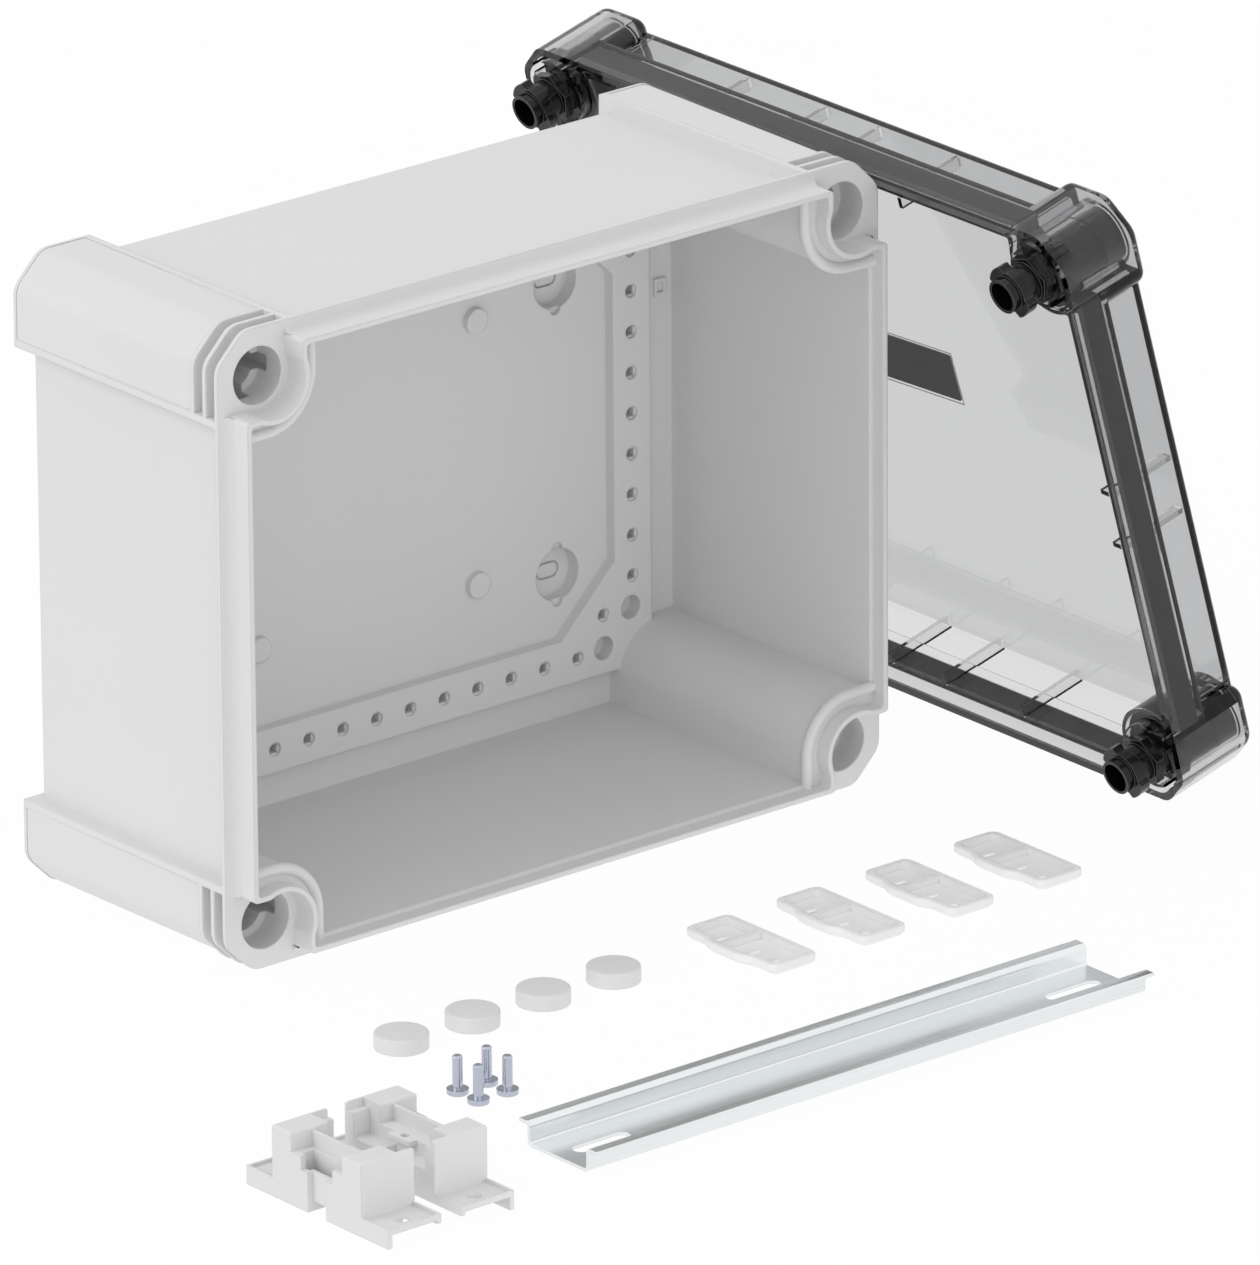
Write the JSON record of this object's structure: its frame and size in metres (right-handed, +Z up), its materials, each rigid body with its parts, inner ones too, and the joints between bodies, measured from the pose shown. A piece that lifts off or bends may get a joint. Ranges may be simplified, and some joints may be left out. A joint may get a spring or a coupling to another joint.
{
  "type": "electronics enclosure",
  "caption": "Wall-mount electronics enclosure laid out open: deep grey base, clear lid with quarter-turn locks leaning beside it, rail, rail supports, brackets, plugs and screws.",
  "frame": {"origin": "centre of the bounding box of the whole layout, on the surface that it stands on", "axes": "+X to the right along the long side of the base, +Y from the open front of the base to its back, +Z up"},
  "size_m": [0.4228, 0.3576, 0.198],
  "materials": {
    "shell_grey": "fine matt moulded light grey plastic",
    "fitting_grey": "matt moulded light grey plastic",
    "lid_clear": "clear, slightly smoked, polished plastic",
    "seal_black": "dark foamed rubber",
    "plate_dark": "plain dark matt plate",
    "lock_black": "glossy black moulded plastic",
    "bush_black": "black moulded plastic",
    "rail_zinc": "bright zinc plated sheet steel",
    "screw_zinc": "bright zinc plated steel"
  },
  "bodies": {
    "open_set": {"base_shell": "shell_grey", "blank_plate": "plate_dark", "clear_lid": "lid_clear", "cover_plug_1": "fitting_grey", "cover_plug_2": "fitting_grey", "cover_plug_3": "fitting_grey", "cover_plug_4": "fitting_grey", "lid_seal": "seal_black", "lock_bush_lower_back": "bush_black", "lock_bush_lower_front": "bush_black", "lock_bush_upper_back": "bush_black", "lock_bush_upper_front": "bush_black", "rail_screw_1": "screw_zinc", "rail_screw_2": "screw_zinc", "rail_screw_3": "screw_zinc", "rail_screw_4": "screw_zinc", "rail_support_1": "fitting_grey", "rail_support_2": "fitting_grey", "top_hat_rail": "rail_zinc", "wall_bracket_1": "fitting_grey", "wall_bracket_2": "fitting_grey", "wall_bracket_3": "fitting_grey", "wall_bracket_4": "fitting_grey"},
    "lock_lower_front": {"turn_lock_lower_front": "lock_black"},
    "lock_upper_front": {"turn_lock_upper_front": "lock_black"},
    "lock_lower_back": {"turn_lock_lower_back": "lock_black"},
    "lock_upper_back": {"turn_lock_upper_back": "lock_black"}
  },
  "joints": [
    {"name": "turn_lower_front", "type": "hinge", "parent": "open_set", "child": "lock_lower_front", "pos_m": [0.17987, -0.0565, 0.01417], "axis": [0.9639, 0, 0.2664], "range_deg": [0, 90]},
    {"name": "turn_upper_front", "type": "hinge", "parent": "open_set", "child": "lock_upper_front", "pos_m": [0.13495, -0.0565, 0.17668], "axis": [0.9639, 0, 0.2664], "range_deg": [0, 90]},
    {"name": "turn_lower_back", "type": "hinge", "parent": "open_set", "child": "lock_lower_back", "pos_m": [0.17987, 0.1641, 0.01417], "axis": [0.9639, 0, 0.2664], "range_deg": [0, 90]},
    {"name": "turn_upper_back", "type": "hinge", "parent": "open_set", "child": "lock_upper_back", "pos_m": [0.13495, 0.1641, 0.17668], "axis": [0.9639, 0, 0.2664], "range_deg": [0, 90]}
  ]
}
